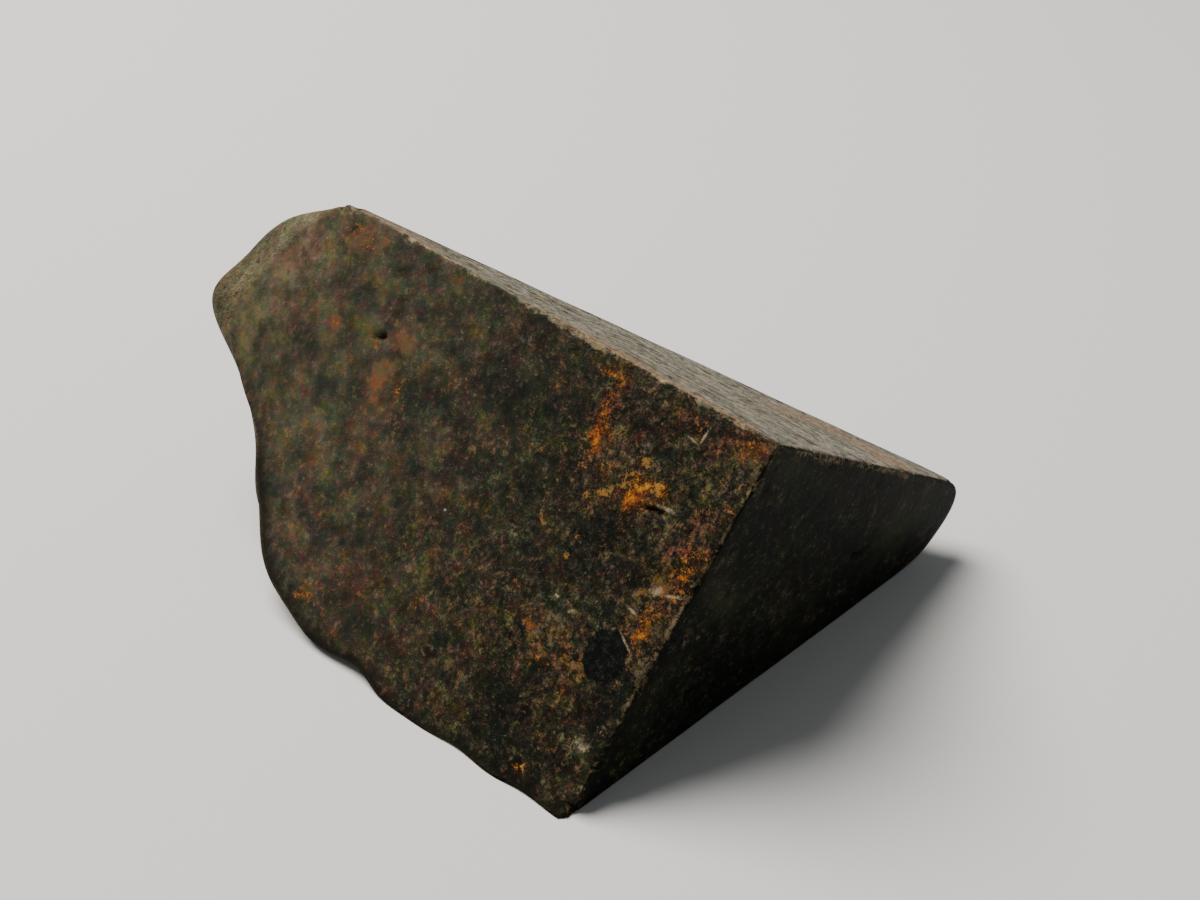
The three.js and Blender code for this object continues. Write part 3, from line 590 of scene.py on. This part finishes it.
stoneLook = {
    # for each noise, a shift that keeps it apart from the others, its size in mm, detail and roughness
    "noises": {
        "patches": ((0, 0, 0), 5.5, 3, 0.55), "clouds": ((0, 0, 0), 1.7, 3, 0.6),
        "mottle": ((0, 0, 0), 0.6, 3, 0.6), "grit": ((0, 0, 0), 0.26, 3, 0.7),
        "dust": ((0, 0, 0), 0.09, 2, 0.6), "hue": ((31, 17, 5), 0.6, 4, 0.7),
        "cast": ((7, 41, 23), 0.9, 4, 0.7), "tint": ((3, 29, 12), 2.2, 2, 0.6),
    },
    "waverSize": 0.3, "waver": 0.45,  # how finely and how far the outlines of the grains waver
    "grainSize": 0.3, "crumbSize": 0.34, "crumbShift": (9, 4, 6), "pockSize": 0.75,
    "streaks": (0.5, 4, 0.65), "streakPull": 0.13,  # noise of the top cut, drawn out along the ridge
    "flakeSpacing": 0.9, "flakeShare": 0.05,  # of the metal flakes
    "lightness": 0.44,  # of the main and the side cut
    "crumbCover": {"main": (0.4, 0.5), "side": (0.13, 0.24)},  # the middle, and what chance changes
    "hazeFrom": (4, 31),  # distances along the ridge where the painted haze starts and is full
    "roughness": 0.62, "gloss": 0.06, "bump": 0.85, "sheen": 0.42, "sheenRoughness": 0.42,
    # how much of what lies under it each layer covers
    "covers": {
        "warmGrains": 0.65, "peach": 0.7, "rust": 0.92, "pale": 0.9, "gold": 0.75, "tan": 0.7, "marks": 0.68,
        "rimTone": 0.85, "olive": 0.7, "chalk": 0.65, "topHues": 0.4, "blush": 0.8, "skinHues": 0.6,
        "ochreSkin": 0.75, "orangeSkin": 0.75, "pock": 0.6, "broken": 0.5, "pit": 0.85,
    },
    # dark to light, the colours that the grains of the main face run through
    "mainTones": [
        (0.0, (0.003, 0.0034, 0.0028)), (0.28, (0.0092, 0.009, 0.0064)), (0.45, (0.0215, 0.0182, 0.0115)),
        (0.6, (0.046, 0.0362, 0.0212)), (0.78, (0.1, 0.077, 0.043)), (1.0, (0.22, 0.17, 0.1)),
    ],
    "hues": [(0.2, (0.64, 1.08, 0.84)), (0.46, (0.97, 1, 0.97)), (0.75, (1.52, 0.8, 0.86))],  # green to red
    "casts": [(0.25, (0.99, 0.98, 1.2)), (0.5, (1, 1, 1)), (0.78, (1.08, 1.02, 0.55))],  # blue to yellow
    "crumbs": [
        (0.2, (0.17, 0.075, 0.04)), (0.4, (0.17, 0.11, 0.085)), (0.6, (0.19, 0.15, 0.1)),
        (0.8, (0.2, 0.145, 0.06)),
    ],
    "warmGrains": [
        (0.2, (0.07, 0.024, 0.015)), (0.4, (0.13, 0.06, 0.035)), (0.6, (0.17, 0.1, 0.035)),
        (0.8, (0.15, 0.12, 0.05)),
    ],
    "rust": [
        (0.0, (0.035, 0.011, 0.007)), (0.28, (0.11, 0.027, 0.009)), (0.48, (0.27, 0.07, 0.01)),
        (0.66, (0.42, 0.15, 0.014)), (0.82, (0.44, 0.23, 0.03)), (1.0, (0.46, 0.33, 0.11)),
    ],
    # the side cut's tones, darkened as painted shade of a face turned away from the key light
    "shadedSideTones": [
        (0.0, (0.0015, 0.0018, 0.0013)), (0.35, (0.0044, 0.0049, 0.0033)), (0.6, (0.011, 0.0118, 0.0074)),
        (0.8, (0.025, 0.0252, 0.0152)), (1.0, (0.068, 0.063, 0.04)),
    ],
    "olive": (0.03, 0.034, 0.016),
    # the top cut's tones are paler than its own colour: partly painted sheen
    "topTonesWithSheen": [
        (0.0, (0.0175, 0.0142, 0.0075)), (0.35, (0.055, 0.0455, 0.0245)), (0.6, (0.128, 0.105, 0.059)),
        (0.8, (0.23, 0.192, 0.11)), (1.0, (0.38, 0.33, 0.2)),
    ],
    "blush": [(0.25, (0.1, 0.052, 0.028)), (0.5, (0.2, 0.12, 0.066)), (0.75, (0.31, 0.215, 0.125))],
    "skinTones": [
        (0.0, (0.006, 0.0055, 0.0036)), (0.3, (0.02, 0.0165, 0.0095)), (0.5, (0.05, 0.039, 0.02)),
        (0.7, (0.11, 0.088, 0.048)), (0.85, (0.18, 0.15, 0.095)), (1.0, (0.28, 0.245, 0.18)),
    ],
    "pock": (0.014, 0.011, 0.007),
    "ochreSkin": (0.16, 0.125, 0.045),
    "orangeSkin": (0.2, 0.09, 0.028),
    "inclusion": [
        (0.3, (0.0025, 0.0033, 0.0024)), (0.55, (0.008, 0.0096, 0.0072)), (0.8, (0.035, 0.036, 0.03)),
    ],
    "pale": [(0.3, (0.11, 0.1, 0.066)), (0.5, (0.21, 0.165, 0.09)), (0.7, (0.3, 0.2, 0.085))],
    "tipHaze": [  # painted haze that lightens and dulls the face towards the tip
        (0.3, (0.046, 0.045, 0.032)), (0.5, (0.072, 0.063, 0.044)), (0.7, (0.105, 0.086, 0.057)),
    ],
    "peach": (0.125, 0.078, 0.042),
    # painted shade along the lower rim of the main cut
    "rimTone": (0.0055, 0.0048, 0.0034),
    "gold": (0.3, 0.15, 0.03),
    "tan": (0.13, 0.095, 0.05),
    "cream": (0.36, 0.3, 0.18),
    # painted shade in the pits and the slit
    "pitShade": (0.003, 0.0024, 0.0016),
    "metal": (0.62, 0.6, 0.55),
}


def stonePatterns(s):
    # what the colours are mixed from: mesh values, depths under the saw cuts, noises and grains
    look = stoneLook
    place = s.vector("MULTIPLY_ADD", s.node("TexCoord", {}, {}, "Object"), (1 / mm,) * 3, tuple(-corner))
    p = SimpleNamespace(place=place)
    for name in ["rim", "broken", "pit", "disk", *stains, *tints]:
        setattr(p, name, s.attribute(name))
    for name, out in zip(("belowMain", "belowTop", "belowSide"), cutOut):
        setattr(p, name, s.vector("DOT_PRODUCT", place, tuple(-out), output="Value"))
    for name, (shift, *numbers) in look["noises"].items():
        moved = s.vector("ADD", place, shift) if any(shift) else place
        setattr(p, name, s.noise(moved, *numbers))

    # small crystals with wavering outlines, and crumbs that are picked apart from them
    waver = s.node("TexNoise", {}, {"Vector": place, "Scale": 1 / look["waverSize"], "Detail": 2}, "Color")
    p.wavered = s.vector("MULTIPLY_ADD", waver, (look["waver"],) * 3, place)
    p.grainTone, p.grainHue, p.grainPick = s.grains(p.wavered, look["grainSize"])
    shifted = s.vector("ADD", p.wavered, look["crumbShift"])
    p.crumbHue, p.crumbPick, p.crumbLight = s.grains(shifted, look["crumbSize"])

    # dark to light, and two casts that go over every face: green to red, blue to yellow
    p.tone = look["lightness"] + p.patches * 0.5 + p.clouds * 0.65 + p.mottle * 0.8
    p.tone = p.tone + p.grit * 1.0 + p.dust * 0.9 + p.grainTone * 0.16
    reddish = p.warm * 0.04 + p.rust * 0.1 + p.brick * 0.2 + p.peach * 0.06 - p.dark * 0.03
    hues = s.ramp(0.45 + p.hue * 1.2 + p.grainHue * 0.15 + p.tint * 0.5 + reddish, look["hues"])
    yellowish = p.warm * 0.04 + p.rust * 0.14 + p.clouds * 0.5
    casts = s.ramp(0.5 + p.cast * 1.3 + p.crumbHue * 0.12 + yellowish, look["casts"])
    p.hues = s.mix(1, hues, casts, "MULTIPLY")

    # crumbs and pale chips are shared by the faces
    crumbSum = p.crumbPick + p.clouds * 0.3 + p.grit * 0.7 + p.warm * 0.05 - p.dark * 0.05
    crumbMask = s.step(0.4, 0.56, crumbSum)
    for name, (middle, change) in look["crumbCover"].items():
        setattr(p, name + "Crumbs", crumbMask * (middle + p.crumbLight * change))
    p.crumbColour = s.ramp(0.5 + p.crumbHue, look["crumbs"])
    p.paleColour = s.ramp(0.45 + p.hue * 1.3 + p.grit * 0.8, look["pale"])
    # painted shade: the main cut darkens along its lower rim, where it turns under towards the table
    p.lowerRim = s.step(1.3, 0.1, p.rim + p.mottle * 0.8) * s.step(10, 16, p.belowTop)
    return p


def mainCutColour(s, p):
    # dark mottling with crumbs, warm grains and painted haze towards the tip, under the two casts
    look, covers = stoneLook, stoneLook["covers"]
    colour = s.ramp(p.tone + p.warm * 0.04 - p.dark * 0.15, look["mainTones"])
    colour = s.mix(p.mainCrumbs, colour, p.crumbColour)
    warmSum = p.warm * 0.32 + p.grainPick * 0.35 + p.mottle * 0.7 + (p.grit + p.dust) * 0.9
    warmMask = s.step(0.3, 0.62, warmSum) * s.step(0, 0.5, p.warm)
    warmColour = s.ramp(0.5 + p.grainHue * 0.5 + p.cast * 1.2, look["warmGrains"])
    colour = s.mix(warmMask * covers["warmGrains"], colour, warmColour)
    # painted haze of light lightens the face towards the tip
    hazeColour = s.ramp(0.5 + p.clouds * 1.1 + p.mottle * 0.5 + p.warm * 0.1, look["tipHaze"])
    colour = s.mix(s.step(*look["hazeFrom"], p.belowSide) * (0.6 + p.clouds * 0.9), colour, hazeColour)
    peachMask = s.step(0.3, 1.0, p.peach + p.clouds * 0.8 + p.mottle * 0.7 + p.grit * 0.5)
    colour = s.mix(peachMask * covers["peach"], colour, look["peach"])
    colour = s.mix(1, colour, p.hues, "MULTIPLY")

    # rust eats in between the grains, so dark holes stay in its patches
    rustSum = p.rust * 0.62 + p.mottle * 0.9 + p.grit * 1.5 + p.dust * 1.2 + p.grainPick * 0.2
    p.rustMask = s.step(0.25, 0.72, rustSum)
    rustTone = 0.24 + p.rust * 0.22 + p.hue * 2.2 + p.grit * 1.2 + p.dust * 0.7 + p.cast * 0.6
    rustColour = s.ramp(rustTone, look["rust"])
    colour = s.mix(p.rustMask * s.step(0.03, 0.35, p.rust) * covers["rust"], colour, rustColour)
    paleMask = s.step(0.3, 0.66, p.pale * 0.75 + p.grit * 1.3 + p.mottle * 0.6 + p.grainPick * 0.15)
    colour = s.mix(paleMask * s.step(0.05, 0.3, p.pale) * covers["pale"], colour, p.paleColour)
    for name, spots in (("gold", p.gold), ("tan", p.tan)):
        mask = s.step(0.35, 1.05, spots + p.grit * 2.2 + p.dust * 1.8 + p.mottle * 0.6)
        colour = s.mix(mask * covers[name], colour, look[name])

    radius = inclusion["radius"]
    p.inDisk = s.step(radius + 0.06, radius - 0.07, p.disk + p.grit * 0.3 + p.mottle * 0.15)
    diskColour = s.ramp(0.38 + p.mottle * 0.6 + p.grit * 1.3 + p.dust * 1.1, look["inclusion"])
    colour = s.mix(p.inDisk, colour, diskColour)
    face = s.node("CombineXYZ", {}, {0: p.belowSide, 1: p.belowTop})
    ragged = (p.grit + p.dust) * 2.6
    for spots, markColour in ((creamMarks, look["cream"]), (slitMarks, look["pitShade"])):
        nearest = s.spot(face, *spots[0])
        for spot in spots[1:]:
            nearest = s.math("MINIMUM", nearest, s.spot(face, *spot))
        colour = s.mix(s.step(1.35, 0.2, nearest + ragged) * covers["marks"], colour, markColour)
    # the lower rim is darkened as painted shade
    return s.mix(p.lowerRim * covers["rimTone"], colour, look["rimTone"])


def sideCutColour(s, p):
    # nearly black, largely as painted shade, with an olive bloom, and pale crumbs along its upper edge
    look, covers = stoneLook, stoneLook["covers"]
    colour = s.ramp(p.tone * 1.7 - 0.38 - s.step(8, 0, p.belowTop) * 0.14, look["shadedSideTones"])
    colour = s.mix(1, colour, p.hues, "MULTIPLY")
    oliveMask = p.olive * s.step(-0.1, 0.15, p.clouds * 0.6 + p.grit * 0.4 + 0.1)
    colour = s.mix(oliveMask * covers["olive"], colour, look["olive"])
    colour = s.mix(p.sideCrumbs, colour, p.crumbColour)
    chalkMask = s.step(0.35, 1.1, p.chalk + p.grit * 2.4 + p.dust * 2 + p.mottle * 0.5)
    return s.mix(chalkMask * covers["chalk"], colour, p.paleColour)


def topCutColour(s, p):
    # pale, partly its own colour and partly painted sheen of a grazing view, streaked along the ridge, with a
    # reddish blush in places
    look, covers = stoneLook, stoneLook["covers"]
    squeezed = {0: p.belowSide * look["streakPull"], 1: p.belowMain, 2: p.belowTop}
    p.streaks = s.noise(s.node("CombineXYZ", {}, squeezed), *look["streaks"])
    tone = 0.5 + p.streaks * 0.9 + p.clouds * 0.5 + p.mottle * 0.8 + p.grit * 1.1 + p.dust * 0.7
    tone = tone + p.grainTone * 0.14 - s.step(1.2, 0, p.rim) * 0.1
    colour = s.mix(covers["topHues"], s.ramp(tone, look["topTonesWithSheen"]), p.hues, "MULTIPLY")
    p.blushMask = s.step(0.2, 0.9, p.blush + p.mottle * 1.2 + p.clouds * 0.7 + p.grit * 1.0)
    return s.mix(p.blushMask * covers["blush"], colour, s.ramp(0.5 + p.grit * 2 + p.hue * 1.5, look["blush"]))


def skinColour(s, p):
    # the weathered outside: bleached, ochre and orange patches, with dark pocks
    look, covers = stoneLook, stoneLook["covers"]
    tone = p.patches * 0.8 + p.clouds * 0.8 + p.mottle * 0.55 + p.grit * 0.6 + p.dust * 0.3
    tone = 0.47 + tone * (1 - p.bleached * 0.4) + p.bleached * 0.31 + p.ochre * 0.04
    colour = s.mix(covers["skinHues"], s.ramp(tone, look["skinTones"]), p.hues, "MULTIPLY")
    ochreMask = s.step(0.25, 0.7, p.ochre * 0.5 + p.clouds * 1.0 + p.mottle * 0.6 + p.grit * 0.3)
    colour = s.mix(ochreMask * covers["ochreSkin"], colour, look["ochreSkin"])
    orangeMask = s.step(0.25, 0.6, p.orange * 0.55 + p.clouds * 1.1 + p.mottle * 0.7 + p.grit * 0.5)
    colour = s.mix(orangeMask * covers["orangeSkin"], colour, look["orangeSkin"])
    pocks = s.node("TexVoronoi", {}, {"Vector": p.wavered, "Scale": 1 / look["pockSize"]}, "Distance")
    p.pocks = s.step(0.4, 0.1, pocks + p.grit * 0.5) * s.step(-0.02, 0.12, p.clouds + p.mottle * 0.5)
    return s.mix(p.pocks * covers["pock"], colour, look["pock"])


def metalFlakes(s, p):
    # round flakes in a few cells of a mosaic
    cells = {"Vector": p.place, "Scale": 1 / stoneLook["flakeSpacing"]}
    chosen = s.node("SeparateColor", {}, {0: s.node("TexVoronoi", {}, cells, "Color")}, 2)
    distance = s.node("TexVoronoi", {}, cells, "Distance")
    bare = 1 - stoneLook["flakeShare"]
    return s.step(bare, bare + 0.01, chosen) * s.step(0.1, 0.06, distance + p.grit * 0.2)


def stoneMaterial():
    s = Shader("chondrite")
    look, covers = stoneLook, stoneLook["covers"]
    p = stonePatterns(s)
    mainColour, sideColour, topColour = mainCutColour(s, p), sideCutColour(s, p), topCutColour(s, p)
    outsideColour = skinColour(s, p)

    # every saw cut shows where a place lies less deep below it than below the others
    isSawn = s.step(-0.1, 0.25, p.rim + (p.grit + p.mottle) * 0.5)
    onMain = s.step(0.03, -0.03, p.belowMain - s.math("MINIMUM", p.belowTop, p.belowSide))
    onTop = s.step(0.03, -0.03, p.belowTop - p.belowSide)
    colour = s.mix(onMain, s.mix(onTop, sideColour, topColour), mainColour)
    colour = s.mix(isSawn * (1 - p.bleached * (0.45 + p.clouds)), outsideColour, colour)
    brokenMask = p.broken * s.step(-0.05, 0.15, p.grit + p.mottle * 0.6)
    # no pale broken edges where the lower rim has painted shade
    brokenMask = brokenMask * (1 - onMain * 0.2) * (1 - p.lowerRim)
    colour = s.mix(brokenMask * covers["broken"], colour, p.paleColour)
    # the pits are darkened as painted shade
    colour = s.mix(p.pit * covers["pit"], colour, look["pitShade"])
    flake = metalFlakes(s, p) * isSawn * (1 - p.inDisk) * s.math("MAXIMUM", onMain, onTop)
    colour = s.mix(flake, colour, look["metal"])

    # the saw left the top cut with a rough sheen; the saw cuts are nearly smooth, the outside is coarse
    sheen = onTop * (1 - onMain) * isSawn * (look["sheen"] + p.streaks * 2 + p.grit * 2.5 + p.mottle * 1.2)
    sheen = sheen * (1 - p.blushMask * 0.6)
    coarse = p.mottle * 0.35 + p.grit * 0.25 + p.dust * 0.05 - p.pocks * 0.15
    height = p.grit * 0.05 + p.dust * 0.025 + p.mottle * 0.03 + (1 - isSawn) * coarse
    height = height * (1 - p.inDisk * 0.85)
    bump = s.node("Bump", {}, {"Height": height, "Distance": mm, "Strength": look["bump"]})
    rough = look["roughness"] + p.grit * 0.3 - flake * 0.3 + p.rustMask * 0.15
    s.finish({
        "Base Color": colour, "Roughness": rough, "Metallic": flake, "Normal": bump,
        "Specular IOR Level": look["gloss"], "Coat Weight": sheen, "Coat Roughness": look["sheenRoughness"],
    })
    return s.material


stonePiece.data.materials.append(stoneMaterial())
print("stone finished")


studio = {
    "floorSize": 3000, "floorDrop": 0.02,  # mm
    "floorColour": (0.72, 0.72, 0.7), "floorRoughness": 0.8,
    "skyColour": (0.93, 0.96, 1.0), "skyStrength": 0.18,
    "keyFrom": (-0.36, 0.3, 0.88), "keyDistance": 0.4, "keySize": 0.3, "keyPower": 3.0,  # m and W
    "keyColour": (1.0, 0.97, 0.92),
}


def makeFloor():
    corners = np.array([(-1, -1, 0), (1, -1, 0), (1, 1, 0), (-1, 1, 0)]) * studio["floorSize"] / 2
    floor = addMesh("floor", corners - (0, 0, studio["floorDrop"]), np.array([(0, 1, 2, 3)]), {})
    s = Shader("pale floor")
    s.finish({"Base Color": (*studio["floorColour"], 1), "Roughness": studio["floorRoughness"]})
    floor.data.materials.append(s.material)


def makeLight():
    world = bpy.data.worlds.new("studio")
    world.use_nodes = True
    sky = world.node_tree.nodes["Background"]
    sky.inputs["Color"].default_value = (*studio["skyColour"], 1)
    sky.inputs["Strength"].default_value = studio["skyStrength"]
    bpy.context.scene.world = world
    lamp = bpy.data.lights.new("key", "AREA")
    lamp.shape = "DISK"
    lamp.size = studio["keySize"]
    lamp.energy = studio["keyPower"]
    lamp.color = studio["keyColour"]
    key = bpy.data.objects.new("key", lamp)
    key.location = unit(np.array(studio["keyFrom"])) * studio["keyDistance"]
    key.rotation_euler = key.location.to_track_quat("Z", "Y").to_euler()
    bpy.context.scene.collection.objects.link(key)


# The camera looks along +Y and down. Its place is measured from the sharp corner in mm, its angle in degrees.
view = {"fromCorner": (-7.9, -58.28, 39.91), "lookDown": 34.62, "lens": 48, "sensor": 36, "nearest": 1}


def makeCamera():
    data = bpy.data.cameras.new("camera")
    data.lens = view["lens"]
    data.sensor_width = view["sensor"]
    data.clip_start = view["nearest"] * mm
    data.dof.use_dof = False
    camera = bpy.data.objects.new("camera", data)
    camera.location = (corner + view["fromCorner"]) * mm
    camera.rotation_euler = (np.radians(90 - view["lookDown"]), 0, 0)
    bpy.context.scene.collection.objects.link(camera)
    bpy.context.scene.camera = camera


makeFloor()
makeLight()
makeCamera()
print("floor, light and camera made")
